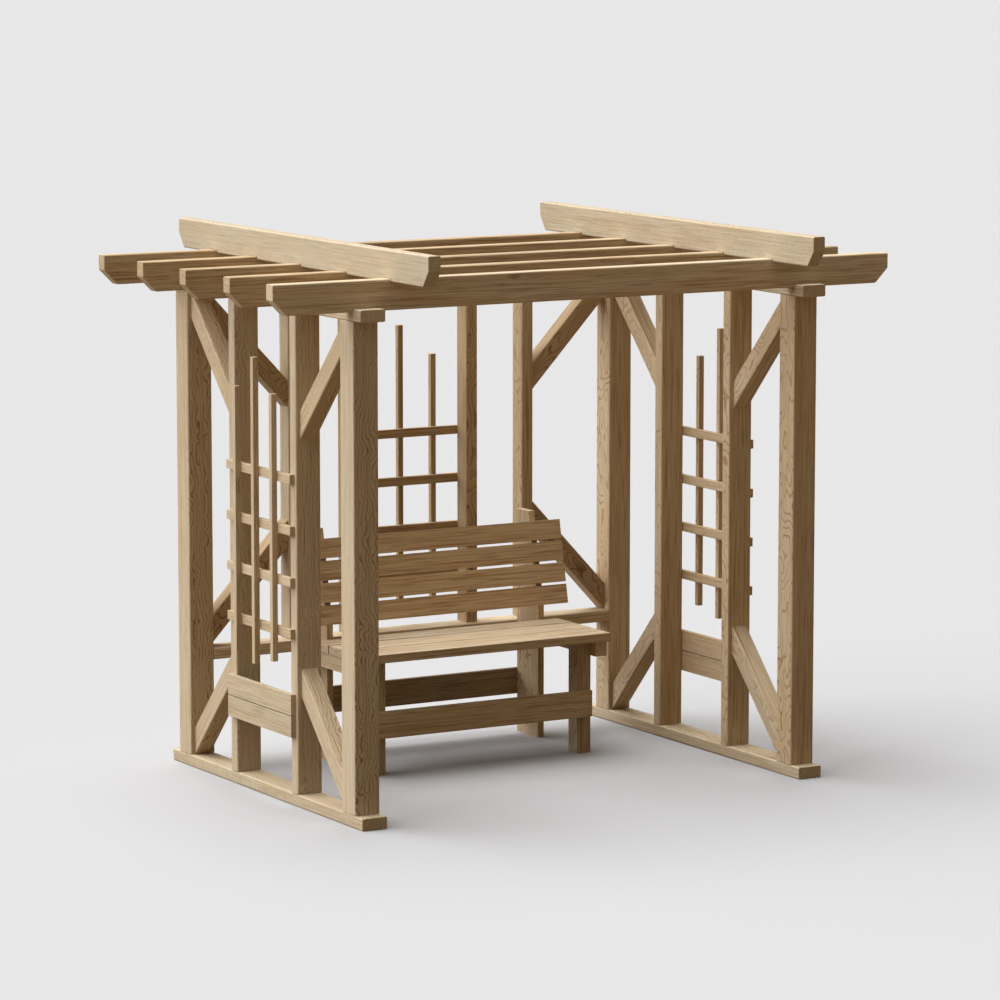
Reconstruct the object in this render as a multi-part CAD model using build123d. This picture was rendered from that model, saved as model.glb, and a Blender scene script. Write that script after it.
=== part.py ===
from build123d import *
import os

# A garden pergola of sawn timber: two braced side frames, a braced back frame, a roof of
# rafters and cross beams, and a slatted bench against the back.
# Sizes are in millimetres. X runs from left to right, Y from the open front to the back, Z up.
# The origin is on the ground, under the middle of the roof.

# Frame timbers
post_size = 100
post_length = 1760
frame_width = 1948
frame_depth = 1408
sill_thickness = 45
sill_overhang = 54
inner_stud_thickness = 50
inner_stud_centre = 242
edge_radius = 6

# Back frame
back_rail_top = 446
back_rail_thickness = 45
back_stud_width = 50
back_stud_depth = 76
outer_back_stud_centre = 513
inner_back_stud_centre = 263

# Braces
brace_depth = 73
brace_thickness = 67
brace_rise = 356
brace_head_gap = 1
back_brace_head_gap = 48

# Trellises and the low boards on the outer faces of the studs
trellis_batten_height = 34
trellis_batten_thickness = 19
trellis_batten_count = 4
trellis_batten_spacing = 188
trellis_lowest_batten = 617
trellis_end_lap = 11
trellis_upright_size = 22
trellis_upright_spacing = 145
trellis_upright_bottom = 521
trellis_upright_top = 1498
trellis_tall_upright_bottom = 490
trellis_tall_upright_top = 1617
low_board_height = 77
low_board_thickness = 19
low_board_count = 2
low_board_gap = 4
low_board_bottom = 255

# Roof
rafter_overhang = 314.5
rafter_width = 50
rafter_height = 111
rafter_end_cut = 55
inner_rafter_offset = 350
rafter_notch_depth = 12
beam_overhang = 270.5
beam_width = 50
beam_height = 111
beam_set_in = 50.5
beam_cut_run = 41
beam_cut_rise = 57
beam_notch_depth = 12
notch_clearance = 1
cut_overrun = 5

# Bench
seat_height = 468
seat_length = 1070
seat_thickness = 32
seat_board_width = 137
rear_seat_board_width = 114
seat_board_gap = 8
seat_back_clearance = 2
seat_rail_thickness = 52
seat_rail_height = 59
seat_rail_inset = 5
seat_rail_set_back = 20
front_leg_width = 60
front_leg_depth = 65
front_leg_set_back = 54
rear_leg_thickness = 26
rear_leg_depth = 164
rear_leg_top = 885
rear_leg_bend = 518
rear_leg_lean = 76
slat_length = 1154
slat_width = 75
slat_thickness = 20
slat_count = 4
slat_gap = 9.5
slat_rise_above_bend = 5
stretcher_height = 102
stretcher_thickness = 20
stretcher_end_inset = 4
front_stretcher_bottom = 143
back_stretcher_bottom = 150
board_edge_radius = 1

# Places that several pieces share
post_outer_x = frame_width / 2
post_inner_x = post_outer_x - post_size
post_outer_y = frame_depth / 2
post_inner_y = post_outer_y - post_size
side_x = post_outer_x - post_size / 2
sill_half_length = post_outer_y + sill_overhang
post_top = sill_thickness + post_length
plate_top = post_top + sill_thickness
rafter_bottom = plate_top - rafter_notch_depth
rafter_top = rafter_bottom + rafter_height
rafter_half_length = post_outer_x + rafter_overhang
beam_bottom = rafter_top - beam_notch_depth
beam_top = beam_bottom + beam_height
beam_half_length = post_outer_y + beam_overhang
beam_centre = post_inner_x - beam_set_in - beam_width / 2
stud_outer_y = inner_stud_centre + inner_stud_thickness / 2
back_stud_front = post_outer_y - back_stud_depth
back_stud_outer_x = outer_back_stud_centre + back_stud_width / 2

seat_rear = post_inner_y - rear_leg_depth - seat_back_clearance
seat_depth = 2 * seat_board_width + rear_seat_board_width + 2 * seat_board_gap
seat_front = seat_rear - seat_depth
seat_underside = seat_height - seat_thickness
seat_rail_outer_x = seat_length / 2 - seat_rail_inset
leg_outer_x = seat_rail_outer_x - seat_rail_thickness
front_leg_front = seat_front + front_leg_set_back
rear_leg_front = post_inner_y - rear_leg_depth


def ease(solid, edge_count, radius):
    """Round a timber's longest edges."""
    longest = solid.edges().sort_by(SortBy.LENGTH)[-edge_count:]
    return fillet(longest, radius)


def block(x_range, y_range, z_range):
    """A plain box between two places on each axis."""
    size = [high - low for low, high in (x_range, y_range, z_range)]
    centre = [(high + low) / 2 for low, high in (x_range, y_range, z_range)]
    return Pos(*centre) * Box(*size)


def timber(x_range, y_range, z_range, radius=edge_radius):
    """A straight timber with rounded long edges."""
    return ease(block(x_range, y_range, z_range), 4, radius)


def board(x_range, y_range, z_range):
    """A lighter piece, with its long edges rounded less."""
    return timber(x_range, y_range, z_range, board_edge_radius)


def around(centre, width):
    """The two places that lie half a width each side of a centre."""
    return centre - width / 2, centre + width / 2


def shaped(plane, outline, thickness, edge_count=4, radius=edge_radius):
    """A timber cut to an outline on a plane, with its thickness centred on the plane."""
    face = make_face(Polyline(*outline, close=True))
    return ease(extrude(plane * face, amount=thickness / 2, both=True), edge_count, radius)


def flipped(solid):
    """The same piece on the other side of the pergola."""
    return mirror(solid, about=Plane.YZ)


def plumb_cut_height(run):
    """How tall a brace's plumb-cut end is."""
    return brace_depth * (run ** 2 + brace_rise ** 2) ** 0.5 / run


def brace(plane, foot, head, foot_height):
    """A sloping brace between two upright faces, cut plumb at both ends."""
    plumb_cut = plumb_cut_height(abs(head - foot))
    outline = [
        (foot, foot_height),
        (head, foot_height + brace_rise),
        (head, foot_height + brace_rise + plumb_cut),
        (foot, foot_height + plumb_cut),
    ]
    return shaped(plane, outline, brace_thickness)


def trellis(half_length):
    """A lattice on the XZ plane: battens first, uprights fused to their outer faces."""
    lattice = None
    for index in range(trellis_batten_count):
        bottom = trellis_lowest_batten + index * trellis_batten_spacing
        batten = block(
            (-half_length, half_length),
            (0, trellis_batten_thickness),
            (bottom, bottom + trellis_batten_height),
        )
        lattice = batten if lattice is None else lattice + batten
    for place in (-1, 0, 1):
        tall = place == 0
        bottom = trellis_tall_upright_bottom if tall else trellis_upright_bottom
        top = trellis_tall_upright_top if tall else trellis_upright_top
        lattice += block(
            around(place * trellis_upright_spacing, trellis_upright_size),
            (trellis_batten_thickness, trellis_batten_thickness + trellis_upright_size),
            (bottom, top),
        )
    return lattice


nodes = {}

# The right side frame: sill, four uprights and a top plate, all as wide as the posts.
side_range = around(side_x, post_size)
post_rise = (sill_thickness, post_top)
sill_run = (-sill_half_length, sill_half_length)
side_pieces = {
    "sill": timber(side_range, sill_run, (0, sill_thickness)),
    "front_post": timber(side_range, (-post_outer_y, -post_inner_y), post_rise),
    "rear_post": timber(side_range, (post_inner_y, post_outer_y), post_rise),
    "front_stud": timber(side_range, around(-inner_stud_centre, inner_stud_thickness), post_rise),
    "rear_stud": timber(side_range, around(inner_stud_centre, inner_stud_thickness), post_rise),
    "top_plate": timber(side_range, sill_run, (post_top, plate_top)),
}

# Low braces run from the posts' feet up to the studs, high ones from the studs to the posts' heads.
side_plane = Plane.YZ.offset(side_x)
side_cut = plumb_cut_height(post_inner_y - stud_outer_y)
high_foot = post_top - brace_head_gap - side_cut - brace_rise
side_braces = []
for end in (-1, 1):
    side_braces.append(brace(side_plane, end * post_inner_y, end * stud_outer_y, sill_thickness))
    side_braces.append(brace(side_plane, end * stud_outer_y, end * post_inner_y, high_foot))
side_pieces["braces"] = Compound(children=side_braces)

# The side trellis is the lattice turned to face outwards, on the studs' outer faces.
side_lattice = trellis(inner_stud_centre + trellis_end_lap)
side_pieces["trellis"] = Pos(post_outer_x, 0, 0) * Rot(0, 0, -90) * side_lattice

low_boards = []
for index in range(low_board_count):
    bottom = low_board_bottom + index * (low_board_height + low_board_gap)
    low_boards.append(board(
        (post_outer_x, post_outer_x + low_board_thickness),
        around(0, 2 * (inner_stud_centre + trellis_end_lap)),
        (bottom, bottom + low_board_height),
    ))
side_pieces["low_boards"] = Compound(children=low_boards)

for name, piece in side_pieces.items():
    nodes["right_" + name] = piece
    nodes["left_" + name] = flipped(piece)

# The back frame: a flat rail between the rear posts, with studs on it up under the rear rafter.
nodes["back_rail"] = timber(
    (-post_inner_x, post_inner_x),
    (post_inner_y, post_outer_y),
    (back_rail_top - back_rail_thickness, back_rail_top),
)
for name, centre in (("outer", outer_back_stud_centre), ("inner", inner_back_stud_centre)):
    stud = timber(
        around(centre, back_stud_width),
        (back_stud_front, post_outer_y),
        (back_rail_top, rafter_bottom),
    )
    nodes["right_" + name + "_back_stud"] = stud
    nodes["left_" + name + "_back_stud"] = flipped(stud)

back_plane = Plane.XZ.offset(-(post_outer_y - brace_thickness / 2))
back_cut = plumb_cut_height(post_inner_x - back_stud_outer_x)
back_high_foot = plate_top - back_brace_head_gap - back_cut - brace_rise
right_back_braces = [
    brace(back_plane, post_inner_x, back_stud_outer_x, back_rail_top),
    brace(back_plane, back_stud_outer_x, post_inner_x, back_high_foot),
]
left_back_braces = [flipped(piece) for piece in right_back_braces]
nodes["back_braces"] = Compound(children=right_back_braces + left_back_braces)
nodes["back_trellis"] = Pos(0, post_outer_y, 0) * trellis(inner_back_stud_centre + trellis_end_lap)

# The roof: rafters on edge across the top plates, then two beams on edge across the rafters.
# Each is notched from below where it crosses, so that it sits down over the timber under it.
rafter_outline = [
    (-rafter_half_length, rafter_top),
    (-rafter_half_length, rafter_bottom + rafter_end_cut),
    (-rafter_half_length + rafter_end_cut, rafter_bottom),
    (rafter_half_length - rafter_end_cut, rafter_bottom),
    (rafter_half_length, rafter_bottom + rafter_end_cut),
    (rafter_half_length, rafter_top),
]
outer_rafter_offset = post_outer_y - rafter_width / 2
rafter_places = {
    "front_rafter": -outer_rafter_offset,
    "second_rafter": -inner_rafter_offset,
    "middle_rafter": 0,
    "fourth_rafter": inner_rafter_offset,
    "rear_rafter": outer_rafter_offset,
}
for name, place in rafter_places.items():
    rafter = shaped(Plane.XZ.offset(-place), rafter_outline, rafter_width)
    for end in (-1, 1):
        rafter -= block(
            around(end * side_x, post_size + 2 * notch_clearance),
            around(place, rafter_width + 2 * cut_overrun),
            (rafter_bottom - cut_overrun, plate_top),
        )
    nodes[name] = rafter

beam_outline = [
    (-beam_half_length, beam_top),
    (-beam_half_length, beam_bottom + beam_cut_rise),
    (-beam_half_length + beam_cut_run, beam_bottom),
    (beam_half_length - beam_cut_run, beam_bottom),
    (beam_half_length, beam_bottom + beam_cut_rise),
    (beam_half_length, beam_top),
]
beam = shaped(Plane.YZ.offset(beam_centre), beam_outline, beam_width)
for place in rafter_places.values():
    beam -= block(
        around(beam_centre, beam_width + 2 * cut_overrun),
        around(place, rafter_width + 2 * notch_clearance),
        (beam_bottom - cut_overrun, rafter_top),
    )
nodes["right_roof_beam"] = beam
nodes["left_roof_beam"] = flipped(beam)

# The bench seat: boards across two side rails and the front legs.
seat_boards = []
board_front = seat_front
for width in (seat_board_width, seat_board_width, rear_seat_board_width):
    seat_boards.append(board(
        around(0, seat_length),
        (board_front, board_front + width),
        (seat_underside, seat_height),
    ))
    board_front += width + seat_board_gap
nodes["bench_seat_boards"] = Compound(children=seat_boards)

rear_leg_outline = [
    (post_inner_y, 0),
    (post_inner_y, rear_leg_top),
    (rear_leg_front + rear_leg_lean, rear_leg_top),
    (rear_leg_front, rear_leg_bend),
    (rear_leg_front, 0),
]
rear_leg_plane = Plane.YZ.offset(leg_outer_x - rear_leg_thickness / 2)
bench_sides = {
    "seat_rail": board(
        (leg_outer_x, seat_rail_outer_x),
        (seat_front + seat_rail_set_back, post_inner_y),
        (seat_underside - seat_rail_height, seat_underside),
    ),
    "front_leg": board(
        (leg_outer_x - front_leg_width, leg_outer_x),
        (front_leg_front, front_leg_front + front_leg_depth),
        (0, seat_underside),
    ),
    "rear_leg": shaped(rear_leg_plane, rear_leg_outline, rear_leg_thickness, 6, board_edge_radius),
}
for name, piece in bench_sides.items():
    nodes["right_bench_" + name] = piece
    nodes["left_bench_" + name] = flipped(piece)

stretcher_half = leg_outer_x - stretcher_end_inset
nodes["bench_front_stretcher"] = board(
    (-stretcher_half, stretcher_half),
    (front_leg_front - stretcher_thickness, front_leg_front),
    (front_stretcher_bottom, front_stretcher_bottom + stretcher_height),
)
nodes["bench_back_stretcher"] = board(
    (-stretcher_half, stretcher_half),
    (post_inner_y, post_inner_y + stretcher_thickness),
    (back_stretcher_bottom, back_stretcher_bottom + stretcher_height),
)

# The back slats lie on the leaning front edges of the rear legs.
lean_rise = rear_leg_top - rear_leg_bend
lean_plane = Plane(
    origin=(0, rear_leg_front, rear_leg_bend),
    x_dir=(1, 0, 0),
    z_dir=(0, -lean_rise, rear_leg_lean),
)
slats = []
for index in range(slat_count):
    bottom = slat_rise_above_bend + index * (slat_width + slat_gap)
    slats.append(lean_plane * board(
        around(0, slat_length),
        (bottom, bottom + slat_width),
        (0, slat_thickness),
    ))
nodes["bench_back_slats"] = Compound(children=slats)

os.makedirs("parts", exist_ok=True)
for name, piece in nodes.items():
    export_step(piece, "parts/" + name + ".step")
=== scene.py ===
import math
import random
from collections import namedtuple

import bmesh
import bpy
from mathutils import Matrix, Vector


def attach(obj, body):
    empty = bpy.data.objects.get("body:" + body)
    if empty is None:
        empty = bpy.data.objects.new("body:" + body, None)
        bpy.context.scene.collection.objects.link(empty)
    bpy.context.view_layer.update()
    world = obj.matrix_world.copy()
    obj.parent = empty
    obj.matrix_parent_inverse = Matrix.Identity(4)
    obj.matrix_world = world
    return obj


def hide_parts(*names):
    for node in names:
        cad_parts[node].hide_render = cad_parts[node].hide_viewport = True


# Lengths are in metres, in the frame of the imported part: X to the right, Y to the back, Z up.

# Camera, fitted to the corners of the frame in the photograph
camera_azimuth_deg = -30.04
camera_elevation_deg = 8.02
camera_distance = 17.464
camera_target = Vector((0.0267, 0.0016, 1.0209))
camera_lens_mm = 167.67
camera_sensor_mm = 36.0
camera_reach = 600.0

# Studio light: a broad key lamp from the left, a lamp high up at the back and a faint warm fill
key_azimuth_deg = -116.0
key_elevation_deg = 42.0
key_disc_deg = 76.0
key_strength = 3.5
top_azimuth_deg = 180.0
top_elevation_deg = 75.0
top_disc_deg = 44.0
top_strength = 3.1
fill_colour = (1.0, 0.78, 0.51)
fill_strength = 0.18

# Floor: pale where it is seen, darker and warmer in the light that it throws back
floor_half_size = 150.0
floor_colour = (0.43, 0.435, 0.45)
floor_bounce_colour = (0.12, 0.076, 0.035)
floor_roughness = 1.0
floor_specular = 0.0

# Timber shapes
weld_distance = 0.00002
flat_angle_deg = 0.5
sharp_angle_deg = 30.0
edge_round = 0.002
edge_round_segments = 3
edge_round_profile = 0.5
large_face_weight = 100
level_digits = 5
up_axis = 2

# How a timber was cut from the tree: which way it runs, and where the pith lies beside it
random_seed = 7
lengthwise_share = 0.8
upright_share = 0.5
facing_share = 0.7
pith_distances = (0.10, 0.17)
pith_offsets = (-0.02, 0.02)
along_shift_range = 60.0
back_heart_endings = ("back_braces", "inner_back_stud")

# Noise: scales are waves a metre, along the grain and twice across it
noise_middle = 0.5
wave_detail = 1.0
usual_detail = 2.0
usual_roughness = 0.5
fine_detail = 3.0
fine_roughness = 0.6

# Rings: each is dark in its last part, and waves of these scales and heights bend them
ring_spacing = 0.0125
looped_ring_spacing = 0.007
late_rise_shares = (0.62, 0.92)
late_fall_shares = (0.93, 1.0)
curled_waves = (((3.0, 6.0, 6.0), 0.10), ((12.0, 10.0, 10.0), 0.07), ((33.0, 15.0, 15.0), 0.028))
uneven_waves = (((0.8, 52.0, 52.0), 0.018),)
looped_waves = (((4.5, 12.0, 12.0), 0.085), ((18.0, 28.0, 28.0), 0.008))
presence_scale = (4.0, 15.0, 15.0)
presence_limits = (0.30, 0.62)
presence_shares = (0.5, 1.0)

# Knots: most cells of the wood have none, and their reach is in shares of a cell
knot_scale = (2.3, 7.0, 7.0)
knotless_share = 0.78
knot_edge_shares = (0.11, 0.05)
knot_sweep_reach_share = 0.34
knot_sweep = 0.05
knot_strength = 0.75

# Colours
early_colour = (0.58, 0.503, 0.368)
warm_colour = (0.57, 0.425, 0.255)
late_colour = (0.25, 0.125, 0.05)
streak_colour = (0.40, 0.228, 0.105)
knot_colour = (0.20, 0.11, 0.05)
patch_scale = (2.5, 9.0, 9.0)
patch_warmth = 1.1

# Fibres and streaks along the timber
fibre_scale = (6.0, 420.0, 420.0)
fibre_limits = (0.25, 0.75)
fibre_shades = (0.86, 1.14)
Streaks = namedtuple("Streaks", "scale detail roughness limits strength colour")
broad_bands = Streaks(
    scale=(0.7, 62.0, 62.0), detail=fine_detail, roughness=fine_roughness,
    limits=(0.42, 0.66), strength=0.40, colour=streak_colour,
)
dark_lines = Streaks(
    scale=(1.3, 150.0, 150.0), detail=wave_detail, roughness=usual_roughness,
    limits=(0.56, 0.70), strength=0.55, colour=late_colour,
)
short_dashes = Streaks(
    scale=(6.0, 215.0, 215.0), detail=wave_detail, roughness=usual_roughness,
    limits=(0.54, 0.66), strength=0.55, colour=late_colour,
)

# Finish of the wood
wood_roughness = 0.6
wood_specular = 0.2
bump_strength = 0.5
bump_distance = 0.0012
late_groove = 1.2

# What differs from timber to timber is drawn from ranges. What is given for nodes goes by the end of
# a node's name, and the first ending that fits counts.
Timber = namedtuple(
    "Timber", "pith_distance pith_offset along_shift heart_figure beside_figure curl warmth shade",
)

# How strongly the rings show on a timber's heart side, beside it, at its ends and on boards
plain_figures = (0.08, 0.20)
looped_figures = (0.55, 0.80)
back_looped_figures = (0.92, 1.0)
ringed_figures = (0.45, 0.95)
banded_figures = (0.06, 0.16)
node_ringed_figures = {
    "left_front_post": (0.90, 0.95),
    "left_rear_post": (0.85, 0.95),
    "left_braces": (0.85, 0.95),
    "stud": (0.40, 0.60),
}
end_figure = 0.45
board_figure = 0.16

# How far the rings curl
board_curl = 0.12
upright_curls = (0.35, 1.0)

# How strongly the streaks show
looped_streaks = 0.15
banded_streaks = 0.85
board_streaks = 1.0
most_streaks = 0.75
streaks_lost_to_curl = 0.5
node_streaks = {
    "left_roof_beam": 0.25,
    "right_roof_beam": 0.42,
    "front_rafter": 0.75,
}

# How far the pale wood turns to the warm colour; for some nodes this is painted shade or painted
# light
upright_warmths = (0.0, 0.2)
looped_warmths = (0.40, 0.60)
board_warmths = (0.35, 0.65)
node_warmths_and_painted_light = {
    # Painted shade: the back braces, the back studs except the left outer one, and the back trellis
    # are warmer, as wood in shade at the back looks
    "back_braces": (0.9, 1.0),
    "left_outer_back_stud": (0.1, 0.3),
    "back_stud": (0.7, 0.9),
    "back_trellis": (0.8, 1.0),
    # Painted light: the back rail is paler, for light on its top
    "back_rail": (0.1, 0.3),
    # Painted light: the back slats are warmer, for warm light thrown up from the seat
    "back_slats": (0.85, 1.0),
    "seat_boards": (0.15, 0.35),
    "front_rafter": (0.0, 0.1),
    "rafter": (0.5, 0.8),
    "right_trellis": (0.50, 0.70),
    "left_trellis": (0.30, 0.50),
    "rear_leg": (0.50, 0.70),
    "left_braces": (0.30, 0.60),
    "left_rear_post": (0.30, 0.45),
    "left_sill": (0.15, 0.30),
    "seat_rail": (0.45, 0.65),
    "right_low_boards": (0.45, 0.65),
}

# How light the whole timber is: its own tone, and for some nodes painted shade or painted light
plain_shades = (0.95, 1.05)
looped_shades = (1.06, 1.16)
node_tones_and_painted_light = {
    # Painted shade: the back braces, inner back studs and back trellis are darker for the shade at
    # the back of the frame
    "back_braces": (0.80, 0.88),
    "inner_back_stud": (0.86, 0.90),
    "outer_back_stud": (0.97, 1.01),
    "back_trellis": (0.86, 0.91),
    # Painted light: the back rail is lighter, for light on its top where the rear posts and studs
    # shade it
    "back_rail": (1.14, 1.20),
    "front_rafter": (1.17, 1.20),
    "rafter": (1.0, 1.05),
    "roof_beam": (0.95, 0.98),
    # Painted light and shade under the seat: the front stretcher is lighter, the back stretcher and
    # the bench's front leg darker, for how light reaches them there
    "front_stretcher": (1.12, 1.16),
    "back_stretcher": (0.80, 0.84),
    "bench_front_leg": (0.88, 0.92),
    "right_low_boards": (1.12, 1.18),
    # Painted light: the left front stud is lighter, against the shadow that the trellis battens cast
    # on it
    "left_front_stud": (1.03, 1.07),
    "seat_rail": (1.05, 1.12),
    "seat_boards": (1.05, 1.09),
    # Painted light: the back slats are lighter, for warm light thrown up from the seat
    "back_slats": (1.02, 1.08),
    "left_trellis": (1.02, 1.08),
    "right_trellis": (1.08, 1.16),
}


def towards(azimuth_deg, elevation_deg):
    """The direction from the part to a place round it; azimuth zero is the front."""
    azimuth = math.radians(azimuth_deg)
    elevation = math.radians(elevation_deg)
    return Vector((
        math.sin(azimuth) * math.cos(elevation),
        -math.cos(azimuth) * math.cos(elevation),
        math.sin(elevation),
    ))


def make_camera():
    back = towards(camera_azimuth_deg, camera_elevation_deg)
    data = bpy.data.cameras.new("camera")
    data.lens = camera_lens_mm
    data.sensor_width = camera_sensor_mm
    data.clip_end = camera_reach
    camera = bpy.data.objects.new("camera", data)
    camera.location = camera_target + camera_distance * back
    camera.rotation_euler = (-back).to_track_quat("-Z", "Y").to_euler()
    bpy.context.scene.collection.objects.link(camera)
    bpy.context.scene.camera = camera


def make_sun(name, direction, disc_deg, strength):
    data = bpy.data.lights.new(name, "SUN")
    data.energy = strength
    data.angle = math.radians(disc_deg)
    sun = bpy.data.objects.new(name, data)
    sun.rotation_euler = (-direction).to_track_quat("-Z", "Y").to_euler()
    bpy.context.scene.collection.objects.link(sun)


def make_light():
    make_sun("key", towards(key_azimuth_deg, key_elevation_deg), key_disc_deg, key_strength)
    make_sun("top", towards(top_azimuth_deg, top_elevation_deg), top_disc_deg, top_strength)
    world = bpy.data.worlds.new("studio")
    world.use_nodes = True
    background = world.node_tree.nodes["Background"]
    background.inputs["Color"].default_value = (*fill_colour, 1)
    background.inputs["Strength"].default_value = fill_strength
    bpy.context.scene.world = world


class Graph:
    """Short ways to make and join shader nodes."""

    def __init__(self, tree):
        self.tree = tree

    def node(self, kind, **settings):
        made = self.tree.nodes.new(kind)
        for name, value in settings.items():
            setattr(made, name, value)
        return made

    def join(self, value, socket):
        if isinstance(value, bpy.types.NodeSocket):
            self.tree.links.new(value, socket)
        elif isinstance(value, tuple) and socket.type == "RGBA":
            socket.default_value = (*value, 1)
        else:
            socket.default_value = value

    def attribute(self, name, output="Fac"):
        return self.node("ShaderNodeAttribute", attribute_name=name).outputs[output]

    def parts(self, vector):
        made = self.node("ShaderNodeSeparateXYZ")
        self.join(vector, made.inputs[0])
        return made.outputs

    def math(self, operation, *values, clamp=False):
        made = self.node("ShaderNodeMath", operation=operation, use_clamp=clamp)
        for value, socket in zip(values, made.inputs):
            self.join(value, socket)
        return made.outputs[0]

    def between(self, factor, first, second):
        """A number that goes from the first to the second as the factor goes from 0 to 1."""
        change = self.math("SUBTRACT", second, first)
        return self.math("ADD", first, self.math("MULTIPLY", factor, change))

    def mix(self, factor, first, second, blend="MIX"):
        made = self.node("ShaderNodeMix", data_type="RGBA", blend_type=blend)
        self.join(factor, made.inputs["Factor"])
        self.join(first, made.inputs["A"])
        self.join(second, made.inputs["B"])
        return made.outputs["Result"]

    def grey(self, value):
        made = self.node("ShaderNodeCombineColor")
        for socket in made.inputs:
            self.join(value, socket)
        return made.outputs[0]

    def stretched(self, vector, scale):
        made = self.node("ShaderNodeVectorMath", operation="MULTIPLY")
        self.join(vector, made.inputs[0])
        made.inputs[1].default_value = scale
        return made.outputs[0]

    def noise(self, vector, scale, detail=usual_detail, roughness=usual_roughness):
        made = self.node("ShaderNodeTexNoise", noise_dimensions="3D")
        self.join(self.stretched(vector, scale), made.inputs["Vector"])
        made.inputs["Scale"].default_value = 1.0
        made.inputs["Detail"].default_value = detail
        made.inputs["Roughness"].default_value = roughness
        return made.outputs["Fac"]

    def waves(self, vector, layers):
        total = 0.0
        for scale, height in layers:
            wave = self.math("SUBTRACT", self.noise(vector, scale, wave_detail), noise_middle)
            total = self.math("ADD", total, self.math("MULTIPLY", wave, height))
        return total

    def smooth(self, value, low, high, to_low=0.0, to_high=1.0):
        made = self.node("ShaderNodeMapRange", interpolation_type="SMOOTHSTEP")
        for number, socket in zip((value, low, high, to_low, to_high), made.inputs):
            self.join(number, socket)
        return made.outputs[0]


def make_material(name, roughness, specular):
    """A material with an even finish, the graph that makes it and its shader."""
    material = bpy.data.materials.new(name)
    material.use_nodes = True
    shader = material.node_tree.nodes["Principled BSDF"]
    shader.inputs["Roughness"].default_value = roughness
    shader.inputs["Specular IOR Level"].default_value = specular
    return material, Graph(material.node_tree), shader


def make_floor():
    mesh = bpy.data.meshes.new("floor")
    sides = (-floor_half_size, floor_half_size)
    mesh.from_pydata([(x, y, 0) for x in sides for y in sides], [], [(0, 2, 3, 1)])
    floor = bpy.data.objects.new("floor", mesh)
    bpy.context.scene.collection.objects.link(floor)
    material, graph, shader = make_material("floor", floor_roughness, floor_specular)
    path = graph.node("ShaderNodeLightPath")
    is_seen = path.outputs["Is Camera Ray"]
    for kind in ("Is Glossy Ray", "Is Transmission Ray"):
        is_seen = graph.math("MAXIMUM", is_seen, path.outputs[kind])
    colour = graph.mix(is_seen, floor_bounce_colour, floor_colour)
    graph.join(colour, shader.inputs["Base Color"])
    mesh.materials.append(material)


def make_knots(graph, grain):
    """Where a few knots are, and how near a place is to one."""
    cells = graph.node("ShaderNodeTexVoronoi", feature="F1", voronoi_dimensions="3D")
    graph.join(graph.stretched(grain, knot_scale), cells.inputs["Vector"])
    cells.inputs["Scale"].default_value = 1.0
    cell_parts = graph.node("ShaderNodeSeparateColor")
    graph.join(cells.outputs["Color"], cell_parts.inputs[0])
    has_knot = graph.math("GREATER_THAN", cell_parts.outputs[0], knotless_share)
    distance = cells.outputs["Distance"]
    knot = graph.math("MULTIPLY", has_knot, graph.smooth(distance, *knot_edge_shares))
    nearness = graph.math("MULTIPLY", has_knot, graph.smooth(distance, knot_sweep_reach_share, 0.0))
    return knot, nearness


def make_late_wood(graph, grain, curl, loops, knot_nearness):
    """How dark the rings are at a place, bent by waves along the trunk and swept round the knots."""
    place = graph.parts(grain)
    squares = [graph.math("POWER", place[axis], 2.0) for axis in "YZ"]
    from_pith = graph.math("SQRT", graph.math("ADD", *squares))
    curled = graph.math("MULTIPLY", graph.waves(grain, curled_waves), curl)
    curled = graph.math("ADD", curled, graph.waves(grain, uneven_waves))
    waves = graph.between(loops, curled, graph.waves(grain, looped_waves))
    sweep = graph.math("MULTIPLY", knot_nearness, knot_sweep)
    radius = graph.math("ADD", graph.math("ADD", from_pith, waves), sweep)
    spacing = graph.between(loops, ring_spacing, looped_ring_spacing)
    ring = graph.math("FRACT", graph.math("DIVIDE", radius, spacing))
    rise = graph.smooth(ring, *late_rise_shares)
    fall = graph.smooth(ring, *late_fall_shares, 1.0, 0.0)
    presence = graph.smooth(graph.noise(grain, presence_scale), *presence_limits, *presence_shares)
    return graph.math("MULTIPLY", graph.math("MULTIPLY", rise, fall), presence)


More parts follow.
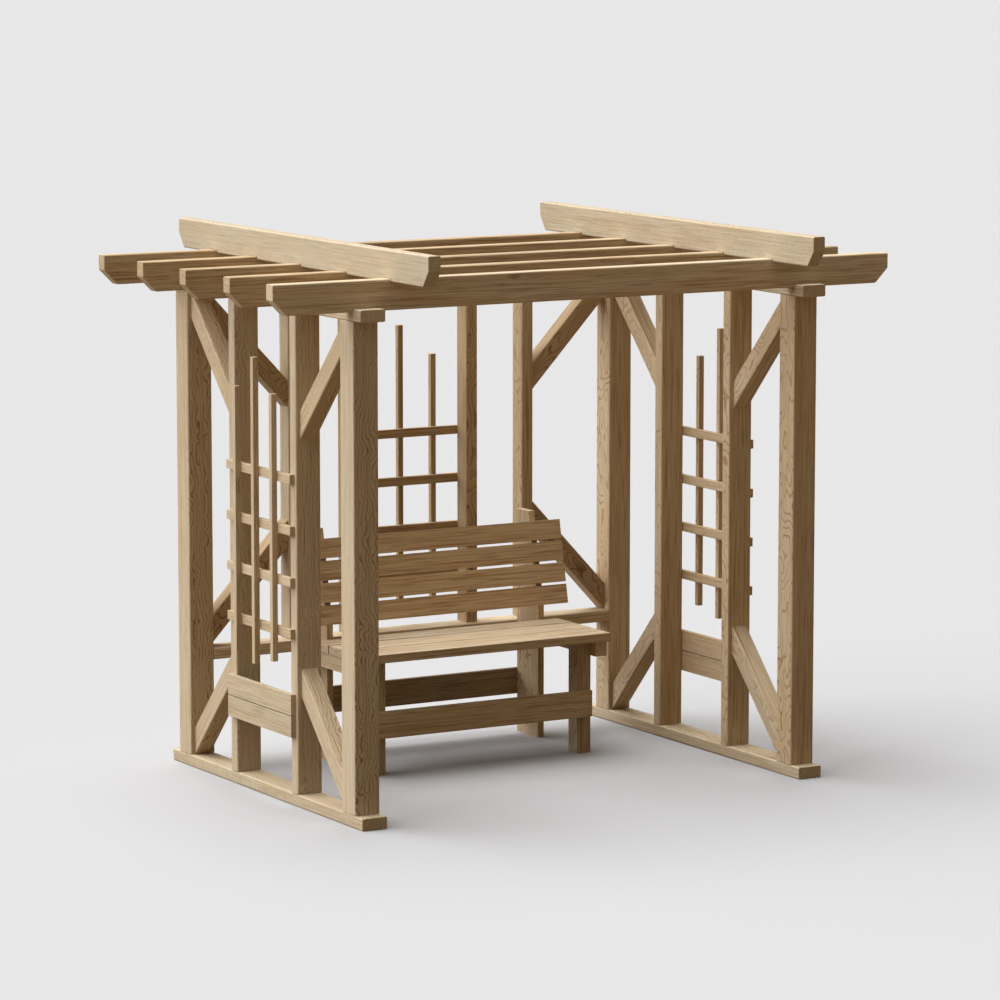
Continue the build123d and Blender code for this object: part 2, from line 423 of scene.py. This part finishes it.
def make_wood():
    material, graph, shader = make_material("timber", wood_roughness, wood_specular)
    grain = graph.attribute("grain", "Vector")
    shade, curl, warmth = graph.parts(graph.attribute("tone_and_painted_light", "Vector"))
    streaks = graph.attribute("streaks")
    knot, knot_nearness = make_knots(graph, grain)
    late = make_late_wood(graph, grain, curl, graph.attribute("loops"), knot_nearness)
    late = graph.math("MULTIPLY", late, graph.attribute("figure"))
    fibre = graph.noise(grain, fibre_scale, fine_detail, fine_roughness)

    # Pale wood with warmer patches, then streaks, rings, knots and the shade of the fibres over it,
    # all times each timber's tone, which for some timbers holds painted shade or painted light
    patch = graph.math("SUBTRACT", graph.noise(grain, patch_scale), noise_middle)
    warmth = graph.math("ADD", warmth, graph.math("MULTIPLY", patch, patch_warmth), clamp=True)
    colour = graph.mix(warmth, early_colour, warm_colour)
    for kind in (broad_bands, dark_lines, short_dashes):
        pattern = graph.noise(grain, kind.scale, kind.detail, kind.roughness)
        strength = graph.smooth(pattern, *kind.limits, 0.0, kind.strength)
        colour = graph.mix(graph.math("MULTIPLY", strength, streaks), colour, kind.colour)
    colour = graph.mix(late, colour, late_colour)
    colour = graph.mix(graph.math("MULTIPLY", knot, knot_strength), colour, knot_colour)
    shade = graph.math("MULTIPLY", shade, graph.smooth(fibre, *fibre_limits, *fibre_shades))
    colour = graph.mix(1.0, colour, graph.grey(shade), blend="MULTIPLY")
    graph.join(colour, shader.inputs["Base Color"])

    # Fibres stand up a little, and the late wood lies lower
    bump = graph.node("ShaderNodeBump")
    bump.inputs["Strength"].default_value = bump_strength
    bump.inputs["Distance"].default_value = bump_distance
    height = graph.math("SUBTRACT", fibre, graph.math("MULTIPLY", late, late_groove))
    graph.join(height, bump.inputs["Height"])
    graph.join(bump.outputs["Normal"], shader.inputs["Normal"])
    return material


def islands(mesh):
    """The separate solids of a mesh, each as a list of vertices."""
    left = set(mesh.verts)
    found = []
    for start in mesh.verts:
        if start not in left:
            continue
        left.remove(start)
        group = [start]
        for vert in group:
            for edge in vert.link_edges:
                other = edge.other_vert(vert)
                if other in left:
                    left.remove(other)
                    group.append(other)
        found.append(group)
    return found


def add_box(mesh, lows, highs):
    """Adds a plain box between two opposite corners."""
    made = bmesh.ops.create_cube(mesh, size=1.0)
    for vert in made["verts"]:
        vert.co = [low if side < 0 else high for side, low, high in zip(vert.co, lows, highs)]


def trellis_bars(lattice):
    """The battens and uprights of a trellis as separate boxes, read off the lattice's corners."""
    corners = [[round(value, level_digits) for value in vert.co] for vert in lattice.verts]
    spans = [(min(values), max(values)) for values in zip(*corners)]
    depth = min(range(3), key=lambda axis: spans[axis][1] - spans[axis][0])
    length = 1 - depth
    inner, middle, outer = sorted({corner[depth] for corner in corners}, key=abs)
    bars = bmesh.new()

    def add_bar(layer, run, heights):
        ranges = {depth: sorted((middle, layer)), length: run, up_axis: heights}
        lows, highs = zip(*(ranges[axis] for axis in range(3)))
        add_box(bars, lows, highs)

    levels = sorted({corner[up_axis] for corner in corners if corner[depth] == inner})
    for heights in zip(levels[::2], levels[1::2]):
        add_bar(inner, spans[length], heights)
    upright_corners = [corner for corner in corners if corner[depth] == outer]
    places = sorted({corner[length] for corner in upright_corners})
    for low, high in zip(places[::2], places[1::2]):
        heights = [corner[up_axis] for corner in upright_corners if corner[length] == low]
        add_bar(outer, (low, high), (min(heights), max(heights)))
    return bars


def plain_solids(node, source):
    """A node's solids with their flat faces whole, and a trellis taken apart into its bars."""
    mesh = bmesh.new()
    mesh.from_mesh(source.data)
    for layer in list(mesh.loops.layers.uv):
        mesh.loops.layers.uv.remove(layer)
    bmesh.ops.remove_doubles(mesh, verts=mesh.verts, dist=weld_distance)
    if node.endswith("trellis"):
        bars = trellis_bars(mesh)
        mesh.free()
        return bars
    flat_angle = math.radians(flat_angle_deg)
    bmesh.ops.dissolve_limit(mesh, angle_limit=flat_angle, verts=mesh.verts, edges=mesh.edges)
    return mesh


def node_choice(choices, node, usual):
    """What is given for a node by the end of its name, or else the usual."""
    return next((choice for ending, choice in choices.items() if node.endswith(ending)), usual)


def timber_run(group):
    """The direction of a timber's longest edge, pointing right, back or up."""
    edges = {edge for vert in group for edge in vert.link_edges}
    longest = max(edges, key=lambda edge: round(edge.calc_length(), level_digits))
    first, second = longest.verts
    along = (second.co - first.co).normalized()
    if max(along, key=abs) < 0:
        along.negate()
    return along


def heart_side(along, is_board, faces_back):
    """The side of a timber, square to its run, that looks to or from the heart of the tree."""
    heart = Vector((0, 0, 1)) if is_board else Vector((1, 0, 0))
    if faces_back:
        heart = Vector((0, 1, 0))
    return (heart - along * heart.dot(along)).normalized()


def face_kind(normal, along, side):
    """Whether a face is at a timber's end, on its heart side or beside that."""
    if abs(normal.dot(along)) > facing_share:
        return "end"
    if abs(normal.dot(side)) > facing_share:
        return "heart"
    return "beside"


def draw_timber(node, is_board, faces_back, shows_loops, draws):
    """Draws how one timber was cut and how it looks."""
    heart_range = plain_figures
    beside_range = node_choice(node_ringed_figures, node, ringed_figures)
    usual_warmths = board_warmths if is_board else upright_warmths
    usual_shades = plain_shades
    if shows_loops:
        heart_range = back_looped_figures if faces_back else looped_figures
        beside_range = banded_figures
        usual_warmths = looped_warmths
        usual_shades = looped_shades
    return Timber(
        pith_distance=draws.uniform(*pith_distances),
        pith_offset=draws.uniform(*pith_offsets),
        along_shift=draws.uniform(0, along_shift_range),
        heart_figure=draws.uniform(*heart_range),
        beside_figure=draws.uniform(*beside_range),
        curl=board_curl if is_board else draws.uniform(*upright_curls),
        warmth=draws.uniform(*node_choice(node_warmths_and_painted_light, node, usual_warmths)),
        shade=draws.uniform(*node_choice(node_tones_and_painted_light, node, usual_shades)),
    )


def face_looks(node, timber, is_board, shows_loops):
    """How strongly the rings and the streaks show on each kind of a timber's faces."""
    usual_streaks = board_streaks if is_board else most_streaks - streaks_lost_to_curl * timber.curl
    usual_streaks = node_choice(node_streaks, node, usual_streaks)
    return {
        "board": (board_figure, usual_streaks),
        "end": (end_figure, usual_streaks),
        "heart": (timber.heart_figure, looped_streaks if shows_loops else usual_streaks),
        "beside": (timber.beside_figure, banded_streaks if shows_loops else usual_streaks),
    }


def lay_grain(mesh, node, draws):
    """Runs a grain along each timber, with the heart of the tree beside it."""
    grain = mesh.verts.layers.float_vector.new("grain")
    tone_and_painted_light = mesh.verts.layers.float_vector.new("tone_and_painted_light")
    loops = mesh.verts.layers.float.new("loops")
    figure = mesh.faces.layers.float.new("figure")
    streaks = mesh.faces.layers.float.new("streaks")
    faces_back = node.endswith(back_heart_endings)
    for group in islands(mesh):
        middle = sum((vert.co for vert in group), Vector()) / len(group)
        along = timber_run(group)
        is_board = abs(along.x) > lengthwise_share
        side = heart_side(along, is_board, faces_back)
        other = along.cross(side)
        stands_right = abs(along.z) > upright_share and middle.x > 0
        shows_loops = faces_back or stands_right
        timber = draw_timber(node, is_board, faces_back, shows_loops, draws)
        for vert in group:
            place = vert.co - middle
            vert[grain] = Vector((
                place.dot(along) + timber.along_shift,
                place.dot(side) - timber.pith_distance,
                place.dot(other) - timber.pith_offset,
            ))
            vert[tone_and_painted_light] = Vector((timber.shade, timber.curl, timber.warmth))
            vert[loops] = float(shows_loops)
        looks = face_looks(node, timber, is_board, shows_loops)
        for face in {face for vert in group for face in vert.link_faces}:
            kind = "board" if is_board else face_kind(face.normal, along, side)
            face[figure], face[streaks] = looks[kind]


def make_timbers(node, source, material, draws):
    """A node's timbers with rounded edges and a grain."""
    mesh = plain_solids(node, source)
    sharp_angle = math.radians(sharp_angle_deg)
    sharp = [edge for edge in mesh.edges if edge.calc_face_angle() > sharp_angle]
    bmesh.ops.bevel(
        mesh, geom=sharp, offset=edge_round, offset_type="OFFSET",
        segments=edge_round_segments, profile=edge_round_profile, affect="EDGES", clamp_overlap=True,
    )
    bmesh.ops.remove_doubles(mesh, verts=mesh.verts, dist=weld_distance)
    lay_grain(mesh, node, draws)
    for face in mesh.faces:
        face.smooth = True
    data = bpy.data.meshes.new(node + "_timber")
    mesh.to_mesh(data)
    mesh.free()
    data.materials.append(material)
    piece = bpy.data.objects.new(node + "_timber", data)
    bpy.context.scene.collection.objects.link(piece)
    weighted = piece.modifiers.new("flat faces", "WEIGHTED_NORMAL")
    weighted.weight = large_face_weight
    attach(piece, "root")
    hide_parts(node)


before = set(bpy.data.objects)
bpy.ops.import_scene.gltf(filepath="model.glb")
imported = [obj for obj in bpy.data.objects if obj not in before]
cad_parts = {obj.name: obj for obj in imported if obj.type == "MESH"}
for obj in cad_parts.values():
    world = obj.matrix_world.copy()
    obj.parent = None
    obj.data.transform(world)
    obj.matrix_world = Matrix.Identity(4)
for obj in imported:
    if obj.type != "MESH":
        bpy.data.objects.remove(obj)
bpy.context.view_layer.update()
bpy.context.scene.view_settings.view_transform = "Standard"
make_camera()
make_light()
make_floor()
wood = make_wood()
draws = random.Random(random_seed)
for node in sorted(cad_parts):
    make_timbers(node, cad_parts[node], wood, draws)
